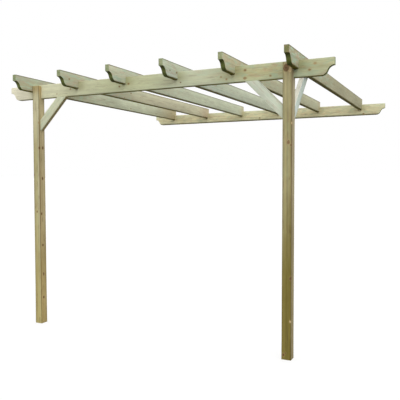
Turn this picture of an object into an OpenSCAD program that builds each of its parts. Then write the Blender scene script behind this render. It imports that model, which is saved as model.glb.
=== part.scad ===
// Lean-to garden pergola: two front posts, a front beam, a beam on the wall,
// six notched rafters and four knee braces, in planed and pressure-treated softwood.
//
// Millimetres, +Z up, X along the wall, the front faces -Y.
// The origin is the middle of the wall beam's back face, which lies on the wall.

/* [Overall] */
// Distance between the outer faces of the two posts
post_span = 2370; // [1800:2:3200]
// Wall face to the front faces of the posts
depth = 2680; // [1500:10:3600]
// Height from the ground to the underside of both beams
clear_h = 2010; // [1700:10:2600]

/* [Posts] */
// Side of the square posts
post_w = 70; // [60:1:100]
// Thickness of the tongue left standing in front of the front beam
tongue_t = 35; // [20:1:50]
// How far each tongue stops below the top of the front beam
tongue_drop = 10; // [0:1:40]

/* [Beams] */
// Height of both beams
beam_h = 120; // [90:1:180]
// Thickness of both beams
beam_t = 35; // [25:1:50]
// How far each beam runs past the outer face of a post
beam_over = 285; // [200:2:500]

/* [Rafters] */
// Height of a rafter
rafter_h = 120; // [90:1:180]
// Thickness of a rafter
rafter_t = 35; // [25:1:50]
// How far a rafter's underside lies below the top of the beams that it is notched over
rafter_drop = 60; // [20:1:70]
// How far a rafter runs past the front face of the front beam
rafter_over = 235; // [180:5:500]
// Gap between an outer rafter and the tongue of the post beside it
rafter_gap = 0; // [0:1:20]
// Width that a rafter's notch has over the thickness of the beam
notch_play = 1; // [0:0.5:3]

/* [Shaped ends] */
// Height of the flat nose above the curve
nose_h = 52; // [30:1:70]
// Length of the S curve under the nose
ogee_len = 96; // [60:1:140]

/* [Braces] */
// Width of a brace across its grain
brace_w = 70; // [45:1:90]
// Thickness of a brace
brace_t = 35; // [20:1:50]
// Height from the foot of every brace to the underside of the front beam
brace_leg = 290; // [200:5:500]

/* [Hidden] */
rafter_count = 6;
arc_steps = 12; // chords in each arc of the S curve

// Heights, from the origin at the middle of the wall beam's back face
beam_bottom = -beam_h / 2;
beam_top = beam_h / 2;
ground = beam_bottom - clear_h;
rafter_bottom = beam_top - rafter_drop;
brace_foot = beam_bottom - brace_leg;

// Faces along Y, from the wall to the front
post_front = -depth;
post_back = post_front + post_w;
front_beam_face = post_front + tongue_t;
rafter_front = front_beam_face - rafter_over;

// Faces along X
post_outer = post_span / 2;
beam_len = post_span + 2 * beam_over;
outer_rafter_inner_face = post_outer + rafter_gap;
rafter_pitch = (2 * outer_rafter_inner_face + rafter_t) / (rafter_count - 1);

// Length of the level or upright cut across a brace laid at 45 degrees
brace_cut = brace_w * sqrt(2);

// Points of the S curve under a nose, from the underside up to the nose.
// Two equal arcs, one bulging out and one hollow, each turn by the angle
// whose half has the slope of the line between their ends.
function ogee(h) =
    let (
        run = ogee_len / 2,
        rise = (h - nose_h) / 2,
        turn = 2 * atan(rise / run),
        r = run / sin(turn)
    )
    concat(
        [for (i = [0 : arc_steps]) let (t = turn * i / arc_steps)
            [ogee_len - r * sin(t), r - r * cos(t)]],
        [for (i = [arc_steps - 1 : -1 : 0]) let (t = turn * i / arc_steps)
            [r * sin(t), h - nose_h - r + r * cos(t)]]
    );

// Reverses a list of points and reflects it about x = len / 2
function other_end(points, len) =
    [for (i = [len_of(points) - 1 : -1 : 0]) [len - points[i][0], points[i][1]]];
function len_of(points) = len(points);

// Side view of a beam: x along its length, y up from its underside
module beam_outline() {
    polygon(concat(
        ogee(beam_h), [[0, beam_h], [beam_len, beam_h]],
        other_end(ogee(beam_h), beam_len)
    ));
}

// Side view of a rafter: x back from its nose, y up from its underside
module rafter_outline() {
    rafter_len = -rafter_front;
    difference() {
        polygon(concat(
            ogee(rafter_h), [[0, rafter_h], [rafter_len, rafter_h], [rafter_len, 0]]
        ));
        translate([rafter_over - notch_play / 2, -1])
            square([beam_t + notch_play, rafter_drop + 1]);
        translate([rafter_len - beam_t - notch_play / 2, -1])
            square([beam_t + notch_play, rafter_drop + 1]);
    }
}

// Side view of a brace that rises at 45 degrees: an upright cut at its foot
// and a level cut at its top
module brace_outline(leg) {
    polygon([[0, 0], [leg, leg], [leg - brace_cut, leg], [0, brace_cut]]);
}

// Post with its back cut away at the top, where the front beam sits
module post() {
    post_h = clear_h + beam_h - tongue_drop;
    color("#b5ae86")
    difference() {
        cube([post_w, post_w, post_h]);
        translate([-1, tongue_t, clear_h])
            cube([post_w + 2, post_w, post_h]);
    }
}

module left_post() {
    translate([-post_outer, post_front, ground]) post();
}

module right_post() {
    translate([post_outer - post_w, post_front, ground]) post();
}

// Beam with its front face on the plane y = 0
module beam() {
    color("#bebc95")
    translate([-beam_len / 2, beam_t, beam_bottom])
    rotate([90, 0, 0])
    linear_extrude(beam_t) beam_outline();
}

module front_beam() {
    translate([0, front_beam_face, 0]) beam();
}

module wall_beam() {
    translate([0, -beam_t, 0]) beam();
}

// Rafter number i, counted from the left
module rafter(i) {
    left_face = -outer_rafter_inner_face - rafter_t + (i - 1) * rafter_pitch;
    color("#afb49c")
    translate([left_face, rafter_front, rafter_bottom])
    rotate([90, 0, 90])
    linear_extrude(rafter_t) rafter_outline();
}

// Brace in the plane of the front beam, in the middle of the post's depth,
// from the left post's inner face up to the beam's underside
module left_front_brace() {
    color("#bdc0a8")
    translate([post_w - post_outer, post_front + (post_w + brace_t) / 2, brace_foot])
    rotate([90, 0, 0])
    linear_extrude(brace_t) brace_outline(brace_leg);
}

module right_front_brace() {
    mirror([1, 0, 0]) left_front_brace();
}

// Brace from the right post's back face up beside the inner face of the outer
// rafter, where it ends level with the top of the beams
module right_side_brace() {
    color("#bdc0a8")
    translate([outer_rafter_inner_face - brace_t, post_back, brace_foot])
    rotate([90, 0, 90])
    linear_extrude(brace_t) brace_outline(brace_leg + beam_h);
}

module left_side_brace() {
    mirror([1, 0, 0]) right_side_brace();
}

left_post();
right_post();
front_beam();
wall_beam();
rafter(1);  // rafter_1
rafter(2);  // rafter_2
rafter(3);  // rafter_3
rafter(4);  // rafter_4
rafter(5);  // rafter_5
rafter(6);  // rafter_6
left_front_brace();
right_front_brace();
left_side_brace();
right_side_brace();
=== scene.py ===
"""Looks of a lean-to garden pergola in planed softwood, pressure-treated green and dried pale.

Each timber is a new piece around its CAD node: its side outline carried across its thickness,
with eased arrises. Growth rings, knots, drying checks and end grain are worked out in the log's
own coordinates, so that they run through from face to face as in a real timber.
"""

import math

import bpy
import numpy as np
from mathutils import Matrix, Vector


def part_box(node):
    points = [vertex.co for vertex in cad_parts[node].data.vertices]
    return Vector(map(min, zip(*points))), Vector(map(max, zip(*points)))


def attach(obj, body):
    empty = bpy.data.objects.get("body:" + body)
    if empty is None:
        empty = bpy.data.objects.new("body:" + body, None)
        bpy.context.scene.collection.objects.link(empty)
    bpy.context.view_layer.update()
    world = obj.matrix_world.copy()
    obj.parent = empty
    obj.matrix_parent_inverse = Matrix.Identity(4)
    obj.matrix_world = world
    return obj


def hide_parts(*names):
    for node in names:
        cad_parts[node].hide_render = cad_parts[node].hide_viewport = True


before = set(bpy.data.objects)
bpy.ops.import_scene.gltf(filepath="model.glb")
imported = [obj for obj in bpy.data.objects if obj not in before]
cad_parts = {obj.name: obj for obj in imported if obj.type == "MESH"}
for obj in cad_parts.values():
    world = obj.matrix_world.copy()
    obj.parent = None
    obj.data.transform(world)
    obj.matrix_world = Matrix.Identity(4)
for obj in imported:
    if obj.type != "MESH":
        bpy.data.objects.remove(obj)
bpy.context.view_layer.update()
scene = bpy.context.scene

# ---------------------------------------------------------------- camera, light and floor

EYE = (2.2762, -6.4094, -0.7595)  # metres, in the object's frame
TURN, TILT, LEAN = 25.886, -2.40, -0.095  # degrees
LENS, SENSOR = 48.93, 36.0  # mm
FAR = 8000.0  # metres, past the end of the floor

SKY_LOW, SKY_HIGH = 1.49, 0.98  # strength of the light from the horizon and from overhead
KEY_POWER, KEY_SPREAD = 1.06, 70.0  # strength, and degrees across
FLOOR_REACH = 3000.0  # metres from the middle to each side
FLOOR_GLOW = 0.82  # what the floor gives by itself, so that it stays pale under the frame
WHITE = (1.0, 1.0, 1.0, 1.0)

camera = bpy.data.objects.new("camera", bpy.data.cameras.new("camera"))
camera.data.lens = LENS
camera.data.sensor_width = SENSOR
camera.data.clip_end = FAR
camera.matrix_world = (
    Matrix.Translation(EYE)
    @ Matrix.Rotation(math.radians(TURN), 4, "Z")
    @ Matrix.Rotation(math.radians(90 + TILT), 4, "X")
    @ Matrix.Rotation(math.radians(LEAN), 4, "Z")
)
scene.collection.objects.link(camera)
scene.camera = camera


def linear(hex_colour):
    """An sRGB hex colour as linear red, green and blue, with an alpha of 1."""
    srgb = np.array([int(hex_colour[i : i + 2], 16) for i in (1, 3, 5)]) / 255.0
    rgb = np.where(srgb <= 0.04045, srgb / 12.92, ((srgb + 0.055) / 1.055) ** 2.4)
    return (*[float(v) for v in rgb], 1.0)


def node(tree, kind, inputs=None, out=0, stops=(), **settings):
    """Adds a node with its settings, fills or links its inputs, and gives back one output.

    stops are the positions and hex colours of a colour ramp."""
    made = tree.nodes.new("ShaderNode" + kind)
    for key, value in settings.items():
        setattr(made, key, value)
    for key, value in (inputs or {}).items():
        if isinstance(value, bpy.types.NodeSocket):
            tree.links.new(value, made.inputs[key])
        else:
            made.inputs[key].default_value = value
    for i, (position, tint) in enumerate(stops):
        marks = made.color_ramp.elements
        mark = marks[i] if i < 2 else marks.new(position)
        mark.position, mark.color = position, linear(tint)
    return made.outputs[out] if made.outputs else made


SMOOTH = {"interpolation_type": "SMOOTHSTEP"}
COLOURS = {"out": 2, "data_type": "RGBA"}


def sky_and_floor():
    """A white sky over dark ground light, one broad soft key light, and a pale floor that glows
    a little, so that it takes almost no shadow."""
    world = bpy.data.worlds.new("sky")
    world.use_nodes = True
    tree = world.node_tree
    tree.nodes.clear()
    up = node(tree, "SeparateXYZ", {0: node(tree, "TexCoord", out="Generated")}, out="Z")
    height = node(tree, "MapRange", {0: up, 1: -0.10, 2: -0.01, 3: 0.0, 4: 1.0}, **SMOOTH)
    sky = node(tree, "Mix", {0: height, 6: linear("#342F18"), 7: WHITE}, **COLOURS)
    power = node(tree, "MapRange", {0: up, 1: 0.0, 2: 1.0, 3: SKY_LOW, 4: SKY_HIGH})
    # What is seen directly is plain white and no brighter, or it would eat into the timbers' edges.
    seen = node(tree, "LightPath", out="Is Camera Ray")
    lit = node(tree, "Background", {"Color": sky, "Strength": power})
    plain = node(tree, "Background", {"Color": WHITE, "Strength": 1.0})
    node(tree, "OutputWorld", {"Surface": node(tree, "MixShader", {0: seen, 1: lit, 2: plain})})
    scene.world = world

    key = bpy.data.objects.new("key_light", bpy.data.lights.new("key_light", "SUN"))
    key.data.energy = KEY_POWER
    key.data.angle = math.radians(KEY_SPREAD)
    key.rotation_euler = (math.radians(48), 0, math.radians(38))
    scene.collection.objects.link(key)

    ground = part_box("left_post")[0].z
    corners = [(x * FLOOR_REACH, y * FLOOR_REACH, ground) for x, y in ((-1, -1), (1, -1), (1, 1), (-1, 1))]
    mesh = bpy.data.meshes.new("floor")
    mesh.from_pydata(corners, [], [(0, 1, 2, 3)])
    floor = bpy.data.objects.new("floor", mesh)
    floor.visible_diffuse = False
    floor.visible_shadow = False
    scene.collection.objects.link(floor)
    material = bpy.data.materials.new("pale_floor")
    material.use_nodes = True
    shader = material.node_tree.nodes["Principled BSDF"]
    shader.inputs["Base Color"].default_value = linear("#6A6A69")
    shader.inputs["Emission Color"].default_value = WHITE
    shader.inputs["Emission Strength"].default_value = FLOOR_GLOW
    shader.inputs["Roughness"].default_value = 0.9
    shader.inputs["Specular IOR Level"].default_value = 0.1
    mesh.materials.append(material)


sky_and_floor()
scene.view_settings.view_transform = "Standard"

# ---------------------------------------------------------------- sizes the timbers share (mm)

NOSE = 52.0  # flat nose above the S curve
CURVE = 96.0  # length of the S curve
EASE = 3.0  # planed round on the long arrises
SAWN = 0.7  # break of a sawn edge
ARC_STEPS = 14  # chords in each arc of the S curve
EASE_STEPS = 4  # chords in each rounded arris
NOTCH_PLAY = 0.5  # between a notch and each side of its beam
BRACE_WIDTH = 70.0
BRACE_CUT = BRACE_WIDTH * math.sqrt(2)  # a brace's sloping width, measured straight up
TIMBER_CREASE, SCREW_CREASE = 12.0, 35.0  # degrees past which an edge is sharp
LOG_STEP = 7300.0  # each timber reads its own stretch of the log patterns, this far on
cut_from_log = []


def box_mm(name):
    """Lowest and highest corner of a CAD node, in millimetres."""
    low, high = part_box(name)
    return np.array(low) * 1000.0, np.array(high) * 1000.0


def s_curve(height):
    """Two equal arcs, hollow above and round below. Each turns by the angle whose half has the
    slope of the line between its ends, so that both start level and meet smoothly. Runs from
    the foot of the nose down to the underside."""
    run, rise = CURVE / 2, (height - NOSE) / 2
    turn = 2 * math.atan2(rise, run)
    radius = run / math.sin(turn)
    t = np.linspace(0, turn, ARC_STEPS + 1)
    hollow = np.stack([radius * np.sin(t), height - NOSE - radius + radius * np.cos(t)], 1)
    bulge = np.stack([CURVE - radius * np.sin(t[::-1]), radius - radius * np.cos(t[::-1])], 1)
    return np.concatenate([hollow, bulge[1:]])


def beam_outline(length, height):
    """Side view of a beam, anticlockwise from the left nose: S curve, underside, S curve, top."""
    left = s_curve(height)
    right = (left * [-1, 1] + [length, 0])[::-1]
    top = np.array([[length, height], [0, height]])
    return np.concatenate([left, right, top])


def rafter_outline(length, height, notches, depth):
    """Side view of a rafter with its nose at 0: S curve, underside with notches, square end."""
    steps = [s_curve(height)]
    for start, end in notches:
        steps.append(np.array([[start, 0], [start, depth], [min(end, length), depth]]))
        if end < length:
            steps.append(np.array([[end, 0]]))
    steps.append(np.array([[length, height], [0, height]]))
    return np.concatenate(steps)


def split_edges(outline, stations):
    """Puts a vertex on every edge that crosses a station, by linear interpolation along it."""
    new = []
    for (a0, b0), (a1, b1) in zip(outline, np.roll(outline, -1, 0)):
        new.append((a0, b0))
        cuts = [s for s in stations if min(a0, a1) + 0.5 < s < max(a0, a1) - 0.5]
        for s in sorted(cuts, reverse=a1 < a0):
            new.append((s, b0 + (b1 - b0) * (s - a0) / (a1 - a0)))
    return np.array(new)


def clusters(knots, gap=60.0):
    """Groups of at most two knots that stand less than a gap apart along the timber."""
    groups = []
    for k in sorted(knots):
        if groups and len(groups[-1]) < 2 and k[0] - groups[-1][-1][0] < gap:
            groups[-1].append(k)
        else:
            groups.append([k])
    return groups


def make_timber(name, slot, outline, thick, place, heart, knots, material, tone_and_highlight="none", axis=(1, 0)):
    """A timber as a closed surface: its outline carried across its thickness.

    Ring k of each arris lies inset from the outline by r(1 - sin t) and in from the face by
    r(1 - cos t), where t runs from 0 at the face to a quarter turn at the edge and r is the
    ease of that outline vertex. The inset follows the mitre of the two edges at the vertex.
    place turns (along, across, depth) in mm into the object's frame. Each knot is its place in
    those axes, its radius, and how dark it is from 0 to 1."""
    height = outline[:, 1].max()
    length = outline[:, 0].max()
    sides = {
        "low": [k for k in knots if k[2] < 1.5 * k[3]],
        "high": [k for k in knots if k[2] > thick - 1.5 * k[3]],
        "under": [k for k in knots if k[1] < 1.5 * k[3]],
        "top": [k for k in knots if k[1] > height - 1.5 * k[3]],
    }
    groups = {side: clusters(found) for side, found in sides.items()}
    middles = {
        side: np.array([np.mean([k[0] for k in group]) for group in made]) for side, made in groups.items()
    }
    borders = {side: [(a + b) / 2 for a, b in zip(m[:-1], m[1:])] for side, m in middles.items()}
    lo, hi = CURVE + 8, length - CURVE - 8
    borders = {side: [float(np.clip(s, lo, hi)) for s in made] for side, made in borders.items()}
    outline = split_edges(outline, sorted(set(sum(borders.values(), []))))
    count = len(outline)

    ahead = np.roll(outline, -1, 0) - outline
    ahead /= np.linalg.norm(ahead, axis=1, keepdims=True)
    behind = np.roll(ahead, 1, 0)
    out_ahead, out_behind = ahead @ [[0, -1], [1, 0]], behind @ [[0, -1], [1, 0]]
    cosine = np.sum(out_ahead * out_behind, 1, keepdims=True)
    mitre = (out_ahead + out_behind) / (1 + cosine)
    grain = np.array(axis) / np.linalg.norm(axis)
    long_edge = (np.abs(ahead @ grain) > 0.98) & (np.abs(behind @ grain) > 0.98)
    ease = np.where(long_edge, EASE, SAWN)[:, None]

    t = np.linspace(0, math.pi / 2, EASE_STEPS + 1)
    inset = np.concatenate([1 - np.sin(t), (1 - np.sin(t))[::-1]])
    depth = np.concatenate([1 - np.cos(t), -(1 - np.cos(t))[::-1]])
    rings = len(inset)
    flat = outline[None] - mitre[None] * ease[None] * inset[:, None, None]
    deep = np.broadcast_to(ease[None] * depth[:, None, None], (rings, count, 1)) + np.where(
        np.arange(rings) > EASE_STEPS, thick, 0.0
    )[:, None, None]
    local = np.concatenate([flat, deep], 2).reshape(-1, 3)

    i, k = np.meshgrid(np.arange(count), np.arange(rings - 1))
    n = (i + 1) % count
    walls = [k * count + i, k * count + n, (k + 1) * count + n, (k + 1) * count + i]
    walls = np.stack(walls, -1).reshape(-1, 4)

    faces, face_side = [list(map(int, f)) for f in walls], []
    mid_b = (outline[:, 1] + np.roll(outline[:, 1], -1)) / 2
    wall_side = np.where(mid_b < 1, "under", np.where(mid_b > height - 1, "top", "none"))
    for row in range(rings - 1):
        if row < EASE_STEPS:
            face_side += ["low"] * count
        elif row > EASE_STEPS:
            face_side += ["high"] * count
        else:
            face_side += list(wall_side)
    for side, first, turn in (("low", 0, -1), ("high", (rings - 1) * count, 1)):
        edges = [-1e9] + sorted(borders[side]) + [1e9]
        for a, b in zip(edges[:-1], edges[1:]):
            inside = np.nonzero((outline[:, 0] >= a - 0.01) & (outline[:, 0] <= b + 0.01))[0]
            faces.append([int(v) for v in (first + inside)[::turn]])
            face_side.append(side)

    place = Matrix(place)
    rotate = np.array(place.to_3x3())
    if np.linalg.det(rotate) < 0:
        faces = [f[::-1] for f in faces]  # a mirrored placing turns faces inwards, so turn them back
    world = local @ rotate.T * 0.001 + np.array(place.translation) * 0.001
    mesh = bpy.data.meshes.new(name)
    mesh.from_pydata(world.tolist(), [], faces)
    mesh.update()

    start = np.array([-LOG_STEP * len(cut_from_log), *heart])
    cut_from_log.append(name)
    to_grain = np.array([[grain[0], -grain[1], 0], [grain[1], grain[0], 0], [0, 0, 1]])
    log = (local - start) @ to_grain
    mesh.attributes.new("log", "FLOAT_VECTOR", "POINT").data.foreach_set("vector", log.ravel())
    section = local @ to_grain
    lows, highs = section.min(0), section.max(0)
    section = section - (lows + highs) / 2
    section[:, 0] = local[:, 0]
    mesh.attributes.new("section", "FLOAT_VECTOR", "POINT").data.foreach_set("vector", section.ravel())
    half = np.tile((highs - lows) / 2, (len(local), 1))
    mesh.attributes.new("half", "FLOAT_VECTOR", "POINT").data.foreach_set("vector", half.ravel())
    centre = np.array([np.mean(local[f], 0) for f in faces])
    spots = np.zeros((2, len(faces), 3))
    sizes = np.zeros((2, len(faces)))
    shades = np.zeros((2, len(faces)))
    for f, side in enumerate(face_side):
        if side != "none" and len(groups[side]):
            group = groups[side][int(np.argmin(np.abs(middles[side] - centre[f, 0])))]
            for j, knot in enumerate(group):
                spots[j, f] = (np.array(knot[:3]) - start) @ to_grain
                sizes[j, f] = knot[3]
                shades[j, f] = knot[4] if len(knot) > 4 else 0.5
    for j in (0, 1):
        spot = mesh.attributes.new(f"knot_{j}", "FLOAT_VECTOR", "FACE")
        spot.data.foreach_set("vector", spots[j].ravel())
        mesh.attributes.new(f"knot_size_{j}", "FLOAT", "FACE").data.foreach_set("value", sizes[j])
        mesh.attributes.new(f"knot_shade_{j}", "FLOAT", "FACE").data.foreach_set("value", shades[j])
    normals = np.zeros(len(faces) * 3)
    mesh.polygons.foreach_get("normal", normals)
    normals = normals.reshape(-1, 3)
    turned = normals @ rotate
    from_end = np.minimum(centre[:, 0], length - centre[:, 0])
    on_curve = (centre[:, 1] < height - NOSE - 0.5) & (from_end < CURVE + 1)
    curved = on_curve & (np.abs(turned[:, 2]) < 0.2) & (slot in ("beam_timber", "rafter_timber"))
    curved &= (centre[:, 0] < CURVE + 1) | (slot == "beam_timber")
    looks = {
        "sawn": np.abs(turned[:, :2] @ grain) ** 2 * ~curved,
        "curved": curved * 1.0,
        # faces that look down, which the material paints with shade
        "under": np.clip(-normals[:, 2], 0, 1) * ~curved,
        # on the braces, faces that look up, which get a painted highlight; on the posts, the right face,
        # which gets its own tint
        "tone_and_highlight": np.array([side == tone_and_highlight for side in face_side])
        | ((tone_and_highlight == "upper") & (normals[:, 2] > 0.5)),
    }
    for look, amount in looks.items():
        mesh.attributes.new(look, "FLOAT", "FACE").data.foreach_set("value", amount.astype(float))
    mesh.shade_smooth()
    mesh.set_sharp_from_angle(angle=math.radians(TIMBER_CREASE))
    mesh.materials.append(material)
    piece = bpy.data.objects.new(name + "_timber", mesh)
    scene.collection.objects.link(piece)
    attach(piece, "root")
    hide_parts(name)
    return piece


# ---------------------------------------------------------------- treated softwood


REACH = 160.0  # mm from the heart of the tree to the end of the growth colours
KNOT_EDGE, KNOT_HALO = "#4A3524", "#B0966C"
ARRIS_GRIME_AND_SHADE = "#4C4210"  # along the arrises: grime, and painted shade on the low arrises
CHECK = "#5C5034"  # inside the drying checks


def treated_softwood(
    name,
    growth,
    late="#A29A70",
    salt="#A9BA9C",
    warm="#C4A284",
    tone_and_highlight=("#A59C94", 0.4),
    under="#7F781E",
    cut=("#94A67E", "#B4B48C"),
    curve="#5E6C12",
    knot=("#CDB283", "#57381C"),
    ring=5.0,
    wander=40.0,
    drifts=(),
    mottle=1.0,
    checks=0.35,
    arris=(0.75, 0.0, 11.0),
    streaks=0.08,
    beside=None,
):
    """Planed spruce or pine, pressure-treated with a copper salt and dried outdoors: pale, a
    little green where the salt gathers, warmer where resin does, darker in each year's late
    wood, with brown knots that the grain flows round. Sawn ends drank more of the salt. The
    scrolled undersides, cut with a band saw, drank more still, and their dark olive is also
    painted shade, as they look down. growth gives the colour by distance from the tree's heart.

    drifts are changes of tint along the timber: start, end, colour and weight. arris is how much
    grime and painted shade the low and the high arrises hold, and how far it reaches. beside is
    where the darkening right of each rafter begins, how far apart the rafters are, its reach,
    colour and weight. Lengths in the nodes are millimetres."""
    material = bpy.data.materials.new(name)
    material.use_nodes = True
    tree = material.node_tree
    tree.nodes.clear()
    log = node(tree, "Attribute", attribute_name="log", out="Vector")

    # The grain flows round a knot: a point moves towards the knot's axis by the cube of
    # knot radius over distance, so that rings close up beside it and part in front of it.
    ragged = node(tree, "VectorMath", {0: log, 1: (1 / 16, 1 / 9, 1 / 9)}, operation="MULTIPLY")
    ragged = node(tree, "TexNoise", {"Vector": ragged, "Scale": 1.0, "Detail": 2.0})
    ragged = node(tree, "MapRange", {0: ragged, 1: 0.3, 2: 0.7, 3: 0.82, 4: 1.18})
    flowed = log
    shares = []
    for j in (0, 1):
        centre = node(tree, "Attribute", attribute_name=f"knot_{j}", out="Vector")
        size = node(tree, "Attribute", attribute_name=f"knot_size_{j}", out="Fac")
        away = node(tree, "VectorMath", {0: log, 1: centre}, operation="SUBTRACT")
        oval = node(tree, "VectorMath", {0: away, 1: (0.75, 1.0, 1.0)}, operation="MULTIPLY")
        distance = node(tree, "VectorMath", {0: oval}, operation="LENGTH", out="Value")
        distance = node(tree, "Math", {0: distance, 1: ragged}, operation="MULTIPLY")
        share = node(tree, "Math", {0: size, 1: distance}, operation="DIVIDE")
        shade = node(tree, "Attribute", attribute_name=f"knot_shade_{j}", out="Fac")
        shares.append((share, distance, shade))
        pull = node(tree, "Math", {0: share, 1: 1.0}, operation="MINIMUM")
        pull = node(tree, "Math", {0: pull, 1: 3.0}, operation="POWER")
        pulled = node(tree, "VectorMath", {0: away, 1: (0.0, 1.0, 1.0)}, operation="MULTIPLY")
        pulled = node(tree, "VectorMath", {0: pulled, 3: pull}, operation="SCALE")
        flowed = node(tree, "VectorMath", {0: flowed, 1: pulled}, operation="SUBTRACT")

    # The heart of the tree wanders along the timber, and the rings ripple by a few millimetres.
    slow = node(tree, "VectorMath", {0: log, 1: (1 / 700, 0.0, 0.0)}, operation="MULTIPLY")
    sway = node(tree, "TexNoise", {"Vector": slow, "Scale": 1.0, "Detail": 1.0}, out="Color")
    sway = node(tree, "VectorMath", {0: sway, 1: (0.5, 0.5, 0.5)}, operation="SUBTRACT")
    sway = node(tree, "VectorMath", {0: sway, 1: (0.0, wander, wander)}, operation="MULTIPLY")
    ripple = node(tree, "VectorMath", {0: flowed, 1: (1 / 150, 1 / 22, 1 / 22)}, operation="MULTIPLY")
    ripple = node(tree, "TexNoise", {"Vector": ripple, "Scale": 1.0, "Detail": 3.0}, out="Color")
    ripple = node(tree, "VectorMath", {0: ripple, 1: (0.5, 0.5, 0.5)}, operation="SUBTRACT")
    ripple = node(tree, "VectorMath", {0: ripple, 1: (0.0, 7.0, 7.0)}, operation="MULTIPLY")
    across = node(tree, "VectorMath", {0: flowed, 1: (0.0, 1.0, 1.0)}, operation="MULTIPLY")
    across = node(tree, "VectorMath", {0: across, 1: sway}, operation="ADD")
    across = node(tree, "VectorMath", {0: across, 1: ripple}, operation="ADD")
    radius = node(tree, "VectorMath", {0: across}, operation="LENGTH", out="Value")
    year = node(tree, "Math", {0: radius, 1: ring}, operation="DIVIDE")
    year = node(tree, "Math", {0: year}, operation="FRACT")
    season = ((0.35, "#000000"), (0.86, "#FFFFFF"), (0.97, "#000000"))
    late_wood = node(tree, "ValToRGB", {0: year}, stops=season)

    # Patterns along the timber: fibres 1.6 mm across, streaks 9 mm, salt blotches 25 mm, resin
    # patches 30 mm, and slow changes a hand wide.
    noises = {}
    for pattern, (long, wide, detail) in {
        "fibre": (45, 1.6, 3.0),
        "streak": (900, 9, 3.0),
        "blotch": (80, 25, 4.0),
        "resin": (110, 30, 3.0),
        "slow": (420, 90, 2.0),
    }.items():
        grid = (1 / long, 1 / wide, 1 / wide)
        spot = node(tree, "VectorMath", {0: flowed, 1: grid}, operation="MULTIPLY")
        spot = node(tree, "VectorMath", {0: spot, 1: (0.0, float(wide), 0.0)}, operation="ADD")
        noise = {"Vector": spot, "Scale": 1.0, "Detail": detail, "Roughness": 0.6}
        noises[pattern] = node(tree, "TexNoise", noise)

    heartward = node(tree, "Math", {0: radius, 1: REACH}, operation="DIVIDE")
    colour = node(tree, "ValToRGB", {0: heartward}, stops=[(r / REACH, tint) for r, tint in growth])
    looks = {
        look: node(tree, "Attribute", attribute_name=look, out="Fac")
        for look in ("sawn", "curved", "under", "tone_and_highlight")
    }
    section = node(tree, "Attribute", attribute_name="section", out="Vector")
    half = node(tree, "Attribute", attribute_name="half", out="Vector")
    along = node(tree, "SeparateXYZ", {0: section}, out="X")
    up = node(tree, "SeparateXYZ", {0: section}, out="Y")
    # Arrises: on the surface, the larger of the two distances to the sides is the distance to
    # the nearest arris. Close to it the wood is darkened, most on the low side: partly salt and
    # grime, partly painted shade where the low arris turns under.
    sides = node(tree, "VectorMath", {0: section}, operation="ABSOLUTE")
    sides = node(tree, "VectorMath", {0: half, 1: sides}, operation="SUBTRACT")
    to_edge = node(tree, "SeparateXYZ", {0: sides}, out="Y")
    to_face = node(tree, "SeparateXYZ", {0: sides}, out="Z")
    near = node(tree, "Math", {0: to_edge, 1: to_face}, operation="MAXIMUM")
    near = node(tree, "MapRange", {0: near, 1: 1.0, 2: arris[2], 3: 1.0, 4: 0.0}, **SMOOTH)
    held = node(tree, "MapRange", {0: up, 1: -5.0, 2: 5.0, 3: arris[0], 4: arris[1]})
    near = node(tree, "Math", {0: near, 1: held}, operation="MULTIPLY")
    cut_mix = node(tree, "MapRange", {0: noises["blotch"], 1: 0.35, 2: 0.65, 3: 0.0, 4: 1.0})
    cut_tint = node(tree, "Mix", {0: cut_mix, 6: linear(cut[0]), 7: linear(cut[1])}, **COLOURS)
    salted = {0: noises["blotch"], 1: 0.49, 2: 0.64, 3: 0.0, 4: 0.52 * mottle}
    resinous = {0: noises["resin"], 1: 0.52, 2: 0.67, 3: 0.0, 4: 0.34 * mottle}
    layers = [
        (node(tree, "Math", {0: late_wood, 1: 0.32}, operation="MULTIPLY"), linear(late)),
        (node(tree, "MapRange", salted), linear(salt)),
        (node(tree, "MapRange", resinous), linear(warm)),
    ]
    for start, end, tint, weight in drifts:
        waver = 0.15 * abs(end - start)
        place = node(tree, "MapRange", {0: noises["slow"], 1: 0.3, 2: 0.7, 3: -waver, 4: waver})
        place = node(tree, "Math", {0: place, 1: along}, operation="ADD")
        span = {0: place, 1: float(start), 2: float(end), 3: 0.0, 4: weight}
        layers.append((node(tree, "MapRange", span, **SMOOTH), linear(tint)))
    if beside:
        # Right of each rafter the beam's upper half is darkened, fading out over the reach.
        first, pitch, reach, tint, weight = beside
        past = node(tree, "Math", {0: along, 1: first}, operation="SUBTRACT")
        past = node(tree, "Math", {0: past, 1: pitch}, operation="FLOORED_MODULO")
        past = node(tree, "MapRange", {0: past, 1: 0.0, 2: reach, 3: weight, 4: 0.0}, **SMOOTH)
        high = node(tree, "MapRange", {0: up, 1: -30.0, 2: 10.0, 3: 0.0, 4: 1.0}, **SMOOTH)
        patchy = node(tree, "MapRange", {0: noises["blotch"], 1: 0.35, 2: 0.6, 3: 0.6, 4: 1.0})
        high = node(tree, "Math", {0: high, 1: patchy}, operation="MULTIPLY")
        past = node(tree, "Math", {0: past, 1: high}, operation="MULTIPLY")
        layers.append((past, linear(tint)))
    layers += [
        # a painted highlight on the braces' faces that look up, and the posts' right-face tint
        (node(tree, "Math", {0: looks["tone_and_highlight"], 1: tone_and_highlight[1]}, operation="MULTIPLY"), linear(tone_and_highlight[0])),
        # grime along the arrises, and painted shade on the low ones
        (near, linear(ARRIS_GRIME_AND_SHADE)),
        # painted shade on faces that look down
        (node(tree, "Math", {0: looks["under"], 1: 0.94}, operation="MULTIPLY"), linear(under)),
        (node(tree, "Math", {0: looks["sawn"], 1: 0.85}, operation="MULTIPLY"), cut_tint),
        # the S curve faces: salt in their end grain, and painted shade
        (node(tree, "Math", {0: looks["curved"], 1: 0.85}, operation="MULTIPLY"), linear(curve)),
    ]
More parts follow.
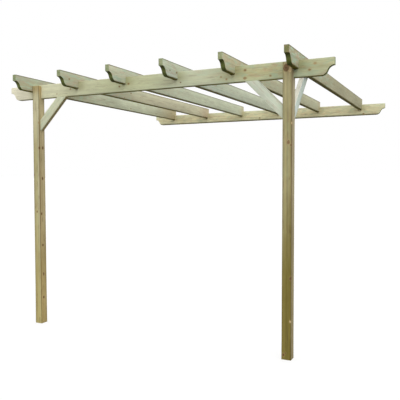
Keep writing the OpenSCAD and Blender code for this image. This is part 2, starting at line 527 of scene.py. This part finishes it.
    # Knots: brown wood with rings of its own 2.5 mm apart, a dark rim and pith, and a warm halo.
    # sound is 0 beside a knot, where no check opens, and 1 elsewhere.
    sound = 1.0
    for share, distance, shade in shares:
        rings = node(tree, "Math", {0: distance, 1: 2 * math.pi / 2.5}, operation="MULTIPLY")
        rings = node(tree, "Math", {0: rings}, operation="SINE")
        rings = node(tree, "Math", {0: rings, 1: 0.16, 2: shade}, operation="MULTIPLY_ADD")
        wood = node(tree, "Mix", {0: rings, 6: linear(knot[0]), 7: linear(knot[1])}, **COLOURS)
        halo = node(tree, "MapRange", {0: share, 1: 0.35, 2: 1.0, 3: 0.0, 4: 0.35}, **SMOOTH)
        inside = node(tree, "MapRange", {0: share, 1: 0.8, 2: 1.3, 3: 0.0, 4: 0.85}, **SMOOTH)
        rim = node(tree, "MapRange", {0: share, 1: 0.85, 2: 1.05, 3: 0.0, 4: 1.0}, **SMOOTH)
        rim_end = node(tree, "MapRange", {0: share, 1: 1.1, 2: 1.4, 3: 0.45, 4: 0.0}, **SMOOTH)
        rim = node(tree, "Math", {0: rim, 1: shade}, operation="MULTIPLY")
        pith = node(tree, "MapRange", {0: share, 1: 2.5, 2: 6.0, 3: 0.0, 4: 0.8}, **SMOOTH)
        pith = node(tree, "Math", {0: pith, 1: shade}, operation="MULTIPLY")
        layers += [
            (halo, linear(KNOT_HALO)),
            (inside, wood),
            (node(tree, "Math", {0: rim, 1: rim_end}, operation="MULTIPLY"), linear(KNOT_EDGE)),
            (pith, linear(KNOT_EDGE)),
        ]
        clear = node(tree, "MapRange", {0: share, 1: 0.2, 2: 0.45, 3: 1.0, 4: 0.0}, **SMOOTH)
        sound = node(tree, "Math", {0: sound, 1: clear}, operation="MULTIPLY")
    # Drying checks: hair cracks a millimetre wide along the grain, where a long noise crosses
    # its middle, and only in some places.
    crack = node(tree, "VectorMath", {0: flowed, 1: (1 / 900, 1 / 9, 1 / 9)}, operation="MULTIPLY")
    crack = node(tree, "TexNoise", {"Vector": crack, "Scale": 1.0, "Detail": 1.0})
    crack = node(tree, "Math", {0: crack, 1: 0.5, 2: 0.02}, operation="COMPARE")
    some = node(tree, "MapRange", {0: noises["resin"], 1: 0.52, 2: 0.60, 3: 0.0, 4: checks})
    some = node(tree, "Math", {0: some, 1: sound}, operation="MULTIPLY")
    crack = node(tree, "Math", {0: crack, 1: some}, operation="MULTIPLY")
    layers.append((crack, linear(CHECK)))
    for weight, tint in layers:
        colour = node(tree, "Mix", {0: weight, 6: colour, 7: tint}, **COLOURS)

    light = node(tree, "MapRange", {0: noises["slow"], 1: 0.3, 2: 0.7, 3: 0.90, 4: 1.10})
    for pattern, darkest, lightest in (
        ("blotch", 0.94, 1.06),
        ("streak", 1 - streaks, 1 + streaks),
        ("fibre", 0.92, 1.08),
    ):
        fine = node(tree, "MapRange", {0: noises[pattern], 1: 0.3, 2: 0.7, 3: darkest, 4: lightest})
        light = node(tree, "Math", {0: light, 1: fine}, operation="MULTIPLY")
    colour = node(tree, "VectorMath", {0: colour, 3: light}, operation="SCALE")

    raised = node(tree, "Math", {0: late_wood, 1: 0.35}, operation="MULTIPLY")
    raised = node(tree, "Math", {0: noises["fibre"], 1: raised}, operation="ADD")
    raised = node(tree, "Math", {0: raised, 1: crack}, operation="SUBTRACT")
    bump = node(tree, "Bump", {"Strength": 0.5, "Distance": 0.0004, "Height": raised})
    shader = node(
        tree,
        "BsdfPrincipled",
        {"Base Color": colour, "Roughness": 0.82, "Specular IOR Level": 0.06, "Normal": bump},
    )
    node(tree, "OutputMaterial", {"Surface": shader})
    return material


# ---------------------------------------------------------------- the timbers

# Axes (along, across, depth) of each kind of timber, as columns in the object's frame.
ALONG_X = np.array([[1, 0, 0], [0, 0, 1], [0, 1, 0]]).T  # beams: across is up, depth runs back
ALONG_Y = np.array([[0, 1, 0], [0, 0, 1], [1, 0, 0]]).T  # rafters: across is up, depth runs right
ALONG_Z = np.array([[0, 0, 1], [0, 1, 0], [1, 0, 0]]).T  # posts: across runs back, depth right


def placed(axes, corner):
    """The matrix that puts a timber's own axes and first corner into the object's frame."""
    m = Matrix.Identity(4)
    for r in range(3):
        for c in range(3):
            m[r][c] = float(axes[r][c])
        m[r][3] = float(corner[r])
    return m


def scattered_knots(name, length, height, thick, spacing=420.0):
    """Knots at random along the faces that have none of their own."""
    rng = np.random.default_rng(sum(ord(c) * (i + 3) for i, c in enumerate(name)))
    found = []
    for a in np.arange(spacing / 2, length, spacing):
        side = rng.integers(0, 4)
        r = rng.uniform(3.5, 8.0)
        a += rng.uniform(-120, 120)
        b, c = rng.uniform(12, height - 12), rng.uniform(4, thick - 4)
        b, c = [(b, 0.0), (b, thick), (0.0, c), (height, c)][side]
        found.append((float(a), float(b), float(c), float(r)))
    return found


wall_low, wall_high = box_mm("wall_beam")
front_low, front_high = box_mm("front_beam")
FIRST_RAFTER = 285.0  # mm from a beam's left end to the first rafter's right face
RAFTER_PITCH = 481.0  # mm from rafter to rafter

BEAMS = {
    "front_beam": {
        "growth": ((30, "#C5BE8F"), (62, "#C4C7A1"), (80, "#BFC8A6"), (95, "#C8C9A0")),
        "heart": (70.0, -45.0),
        "knots": [
            (2288, 84, 0, 8, 0.6), (2288, 26, 0, 9, 0.5), (2096, 50, 0, 5, 0.3), (2141, 30, 0, 6, 0.4),
            (2483, 29, 0, 6, 0.5), (2806, 88, 0, 8, 0.3), (2768, 46, 0, 7, 0.5), (678, 62, 0, 6, 0.4),
            (1185, 46, 0, 6, 0.6), (1273, 62, 0, 7, 0.6), (530, 30, 0, 4, 0.4), (1754, 36, 0, 4, 0.8),
        ],
        "looks": {
            "drifts": (
                (2400, 1900, "#D6DCC2", 0.6), (1750, 1450, "#BFC197", 0.6),
                # the last drift on the next line whitens the left end: painted light lifting the shade
                # around the first rafter
                (1150, 350, "#E7E6C5", 0.85), (290, 170, "#FFF8E2", 0.6),
            ),
            "mottle": 1.4,
            "beside": (FIRST_RAFTER, RAFTER_PITCH, 110.0, "#8E8A52", 0.5),
            # dark band up from the low arrises: grime and painted shade
            "arris": (0.55, 0.0, 9.0),
        },
    },
    "wall_beam": {
        "growth": ((30, "#EADDAE"), (62, "#E8E3BC"), (80, "#E4E5C0"), (95, "#EBE3B8")),
        "heart": (58.0, -52.0),
        "looks": {
            # dark band up from the low arrises: grime and painted shade
            "arris": (1.0, 0.0, 18.0),
            "beside": (FIRST_RAFTER, RAFTER_PITCH, 70.0, "#A1966A", 0.5),
        },
    },
}
for name, beam in BEAMS.items():
    low, high = box_mm(name)
    length, thick, height = high - low
    wood = treated_softwood(name + "_softwood", beam["growth"], **beam["looks"])
    make_timber(
        name, "beam_timber", beam_outline(length, height), thick, placed(ALONG_X, low),
        beam["heart"], beam.get("knots") or scattered_knots(name, length, height, thick), wood,
    )

# Each rafter's colours: over the front beam, nearer the tree's heart, farther back, and its drift
# to brown towards the wall.
RAFTERS = {
    1: ("#B5B8A1", "#B2B193", "#CBD0B6", (2150, 2800, "#AE9B72", 0.75)),
    2: ("#BFC3AB", "#BCB89C", "#CEC9AC", (2560, 2800, "#B89E80", 0.5)),
    3: ("#CCD2BC", "#C8C8AE", "#D0D6BC", (2700, 2860, "#B4A27E", 0.5)),
    4: ("#CCD6C8", "#C6CCB4", "#C8CEB8", (2700, 2860, "#B4A98C", 0.4)),
    5: ("#C0C2A4", "#C0B898", "#BDBDA0", (2700, 2860, "#B09C7C", 0.4)),
    6: ("#B1B69B", "#AAA384", "#A6A284", (2600, 2860, "#9A9276", 0.4)),
}
for number, (main, inner, rear, browned) in RAFTERS.items():
    name = f"rafter_{number}"
    low, high = box_mm(name)
    thick, length, height = high - low
    notches = [
        (front_low[1] - low[1] - NOTCH_PLAY, front_high[1] - low[1] + NOTCH_PLAY),
        (wall_low[1] - low[1] - NOTCH_PLAY, wall_high[1] - low[1] + NOTCH_PLAY),
    ]
    depth = front_high[2] - low[2]
    knots = {
        1: [(1785, 30, thick, 6)],
        2: [
            (115, 62, thick, 7, 0.6), (1052, 71, thick, 6, 0.8), (935, 12, thick, 5, 0.5),
            (2714, 4, thick, 6, 0.9), (2767, 3, thick, 6, 0.8),
        ],
        4: [(112, 50, thick, 5, 0.7), (218, 50, thick, 8, 0.6)],
    }.get(number, [])
    knots = knots + [k for k in scattered_knots(name, length, height, thick) if k[2] < 1]
    wood = treated_softwood(
        name + "_softwood",
        ((25, inner), (70, main), (110, inner)),
        drifts=((700, 1500, rear, 0.8), browned),
        salt="#A9BCA4",
        warm="#C6AE96",
        cut=("#7D8F62", "#9EA37C") if number < 6 else ("#68783F", "#84784A"),
        mottle=1.5 if number < 6 else 2.0,
        arris=(0.85, 0.75, 12.0),
    )
    outline = rafter_outline(length, height, notches, depth)
    heart = (35.0 + 12 * number, thick + 30.0)
    make_timber(name, "rafter_timber", outline, thick, placed(ALONG_Y, low), heart, knots, wood)

# A post's thickness in mm. A knot at this depth is on the post's right face.
POST = round(float((box_mm("left_post")[1] - box_mm("left_post")[0])[0]), 3)

POSTS = {
    "left_post": {
        "growth": (
            (67, "#A89F72"), (71, "#B2AA80"), (75, "#B5AB7F"), (87, "#C4BD8F"), (92, "#AFAC82"),
            (98, "#C4BD9A"), (106, "#BDB494"), (112, "#B0A280"),
        ),
        "heart": (55.0, -28.0),
        "knots": [
            (1795, 0, 65, 6, 0.5), (1572, 0, 68, 9, 0.9), (1574, 42, POST, 10, 0.9),
            (1005, 0, 33, 7, 0.8), (1302, 33, POST, 10, 0.9), (986, 17, POST, 9, 1.0),
            (705, 27, POST, 9, 1.0), (443, 31, POST, 10, 0.8), (233, 30, POST, 9, 1.0),
            (1335, 0, 4, 7, 0.8),
        ],
        "looks": {
            "tone_and_highlight": ("#A38450", 0.4),
            "drifts": (
                # darker olive towards the foot: partly damp wood, partly painted shade where the light
                # falls off near the ground
                (1300, 100, "#AFA065", 0.72), (1500, 1900, "#D8D2AE", 0.65), (2020, 2110, "#A88A50", 0.55),
            ),
        },
    },
    "right_post": {
        "growth": (
            (67, "#B2AE88"), (72, "#A29B76"), (77, "#A8A078"), (83, "#BAAF7E"), (88, "#8F8762"),
            (95, "#989170"), (101, "#B0A678"), (107, "#A0966B"), (113, "#8C7D5A"),
        ),
        "heart": (60.0, -30.0),
        "knots": [
            (590, 0, 66, 9, 0.9), (1690, 0, 69, 6, 0.0), (281, 0, 64, 6, 0.0), (2078, 0, 24, 19, 0.85),
            (2064, 0, 53, 13, 0.0), (1556, 0, 44, 10, 0.8), (1536, 0, 64, 5, 0.9), (34, 0, 15, 7, 1.0),
            (49, 0, 30, 4, 0.9),
        ],
        "looks": {
            "knot": ("#D6C094", "#5C301C"),
            "tone_and_highlight": ("#AA9D8A", 0.44),
            # darker olive towards the foot: partly damp wood, partly painted shade where the light falls
            # off near the ground
            "drifts": ((1480, 450, "#776A24", 0.82), (1600, 2000, "#B4AC86", 0.5)),
        },
    },
}
for name, post in POSTS.items():
    low, high = box_mm(name)
    thick, back, length = high - low
    step = front_low[2] - low[2]
    tongue = front_low[1] - low[1]
    outline = np.array([[0, 0], [length, 0], [length, tongue], [step, tongue], [step, back], [0, back]])
    wood = treated_softwood(
        name + "_softwood",
        post["growth"],
        late="#948656",
        salt="#A3A67C",
        ring=7.0,
        wander=6.0,
        mottle=0.6,
        checks=0.7,
        arris=(0.55, 0.55, 9.0),
        streaks=0.14,
        **post["looks"],
    )
    make_timber(
        name, "post_timber", outline, thick, placed(ALONG_Z, low), post["heart"], post["knots"], wood,
        tone_and_highlight="high",
    )

BRACES = {
    "left_front_brace": "#D3D7B9",
    "right_front_brace": "#D3D9C7",
    "left_side_brace": "#C3C7B0",
    "right_side_brace": "#CFDAD6",
}
for name, main in BRACES.items():
    low, high = box_mm(name)
    rise = high[2] - low[2]
    outline = np.array([[0, 0], [rise, rise], [rise - BRACE_CUT, rise], [0, BRACE_CUT]])
    grain = (1, 1)
    if name == "right_front_brace":
        outline = (outline * [-1, 1] + [rise, 0])[::-1]
        grain = (-1, 1)
    sideways = name.endswith("side_brace")
    axes, thick = (ALONG_Y, high[0] - low[0]) if sideways else (ALONG_X, high[1] - low[1])
    wood = treated_softwood(
        name + "_softwood",
        ((30, main), (90, main)),
        late="#B4B496",
        salt="#B4C6B0",
        warm="#CDBFA4",
        # near-white on faces that look up: a painted highlight
        tone_and_highlight=("#F2EFE2", 0.9) if sideways else ("#D8DACA", 0.5),
        arris=(0.3, 0.0, 9.0),
        # painted shade on the brace's faces that look down
        under="#CDB67C",
    )
    make_timber(
        name, "brace_timber", outline, thick, placed(axes, low), (60.0, -30.0), [], wood,
        tone_and_highlight="upper", axis=grain,
    )

# ---------------------------------------------------------------- screws

HEAD = 4.8  # mm, radius of a 5 mm wood screw's countersunk head
CROWN = 0.35  # mm that the middle of the head stands above the wood
SLOT_LENGTH, SLOT_WIDTH, SLOT_DEPTH = 2.6, 0.75, 1.5  # mm, the cross recess
RAFTER_SCREW_UP = 26.0  # mm above the beam's top
POST_SCREWS = ((-16.0, 44.0), (16.0, 18.0))  # mm beside the tongue's middle, above the beam's underside
BRACE_SCREWS = ((16, 4), (34, 46))  # mm in from the sawn end, and past that end's middle


def zinc_plated_steel():
    """Steel wood screws, zinc-plated and passivated yellow: a soft metal gleam, blotched by weather."""
    material = bpy.data.materials.new("zinc_plated_steel")
    material.use_nodes = True
    tree = material.node_tree
    tree.nodes.clear()
    spot = node(tree, "TexCoord", out="Object")
    spot = node(tree, "VectorMath", {0: spot, 3: 500.0}, operation="SCALE")
    spot = node(tree, "TexNoise", {"Vector": spot, "Scale": 1.0, "Detail": 3.0})
    colour = node(tree, "Mix", {0: spot, 6: linear("#8E8258"), 7: linear("#B8B4A0")}, **COLOURS)
    rough = node(tree, "MapRange", {0: spot, 1: 0.3, 2: 0.7, 3: 0.55, 4: 0.35})
    shader = node(tree, "BsdfPrincipled", {"Base Color": colour, "Roughness": rough, "Metallic": 1.0})
    node(tree, "OutputMaterial", {"Surface": shader})
    return material


def screw_heads(name, places, material):
    """Countersunk heads, each at a point on a face and along that face's outward axis.

    The top is a height over polar rings: a crown that falls with the square of the radius, less
    a cross whose walls slope from its width to half as much again. A cone closes it in the wood."""
    rays = 40
    radii = np.concatenate([np.linspace(0.25, 3.2, 12), [4.0, HEAD - 0.2, HEAD, HEAD * 0.8, HEAD * 0.5]])
    turn = np.arange(rays) * 2 * math.pi / rays
    r, a = np.meshgrid(radii, turn, indexing="ij")
    x, y = r * np.cos(a), r * np.sin(a)
    arm = np.maximum(
        np.clip(1.5 - np.abs(x) / SLOT_WIDTH, 0, 1) * np.clip((SLOT_LENGTH - np.abs(y)) / 0.4, 0, 1),
        np.clip(1.5 - np.abs(y) / SLOT_WIDTH, 0, 1) * np.clip((SLOT_LENGTH - np.abs(x)) / 0.4, 0, 1),
    )
    z = CROWN * (1 - (r / HEAD) ** 2) - SLOT_DEPTH * np.minimum(arm * 2, 1)
    z[-3:] = np.array([-0.3, -1.8, -3.0])[:, None]
    grid = np.stack([x, y, z], -1).reshape(-1, 3)
    one = np.concatenate([grid, [[0, 0, CROWN - SLOT_DEPTH], [0, 0, -3.2]]])
    rings = len(radii)
    i, k = np.meshgrid(np.arange(rays), np.arange(rings - 1))
    n = (i + 1) % rays
    quads = [k * rays + i, (k + 1) * rays + i, (k + 1) * rays + n, k * rays + n]
    quads = np.stack(quads, -1).reshape(-1, 4)
    ray = np.arange(rays)
    top = np.stack([np.full(rays, rings * rays), ray, (ray + 1) % rays], 1)
    foot = (rings - 1) * rays
    bottom = np.stack([np.full(rays, rings * rays + 1), foot + (ray + 1) % rays, foot + ray], 1)
    points, faces = [], []
    for index, (centre, axis) in enumerate(places):
        side = np.array([0.0, 0.0, 1.0])
        out = np.array(axis, float)
        frame_axes = np.stack([np.cross(side, out), side, out])
        spin = 0.7 * index
        c, s = math.cos(spin), math.sin(spin)
        across = np.array([[c, s, 0], [-s, c, 0], [0, 0, 1]])
        points.append((one @ across @ frame_axes + np.array(centre)) * 0.001)
        shift = index * len(one)
        faces += (quads + shift).tolist() + (top + shift).tolist() + (bottom + shift).tolist()
    mesh = bpy.data.meshes.new(name)
    mesh.from_pydata(np.concatenate(points).tolist(), [], faces)
    mesh.shade_smooth()
    mesh.set_sharp_from_angle(angle=math.radians(SCREW_CREASE))
    mesh.materials.append(material)
    piece = bpy.data.objects.new(name, mesh)
    scene.collection.objects.link(piece)
    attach(piece, "root")
    return piece


steel = zinc_plated_steel()
places = []
for number in RAFTERS:
    low, high = box_mm(f"rafter_{number}")
    for beam_low, beam_high in ((front_low, front_high), (wall_low, wall_high)):
        middle = (beam_low[1] + beam_high[1]) / 2
        places.append(((low[0], middle, beam_high[2] + RAFTER_SCREW_UP), (-1, 0, 0)))
screw_heads("rafter_screws", places, steel)

places = []
for name in POSTS:
    low, high = box_mm(name)
    middle = (low[0] + high[0]) / 2
    for beside, above in POST_SCREWS:
        places.append(((middle + beside, front_high[1], front_low[2] + above), (0, 1, 0)))
screw_heads("post_screws", places, steel)

places = []
for name in BRACES:
    low, high = box_mm(name)
    rise = high[2] - low[2]
    foot = [(in_from_end, BRACE_CUT / 2 + past) for in_from_end, past in BRACE_SCREWS]
    head = [(rise - b, rise - a) for a, b in foot]
    for a, b in foot + head:
        if name == "right_front_brace":
            places.append(((low[0] + rise - a, high[1], low[2] + b), (0, 1, 0)))
        elif name == "left_front_brace":
            places.append(((low[0] + a, high[1], low[2] + b), (0, 1, 0)))
        elif name == "right_side_brace":
            places.append(((low[0], low[1] + a, low[2] + b), (-1, 0, 0)))
        else:
            places.append(((high[0], low[1] + a, low[2] + b), (1, 0, 0)))
screw_heads("brace_screws", places, steel)
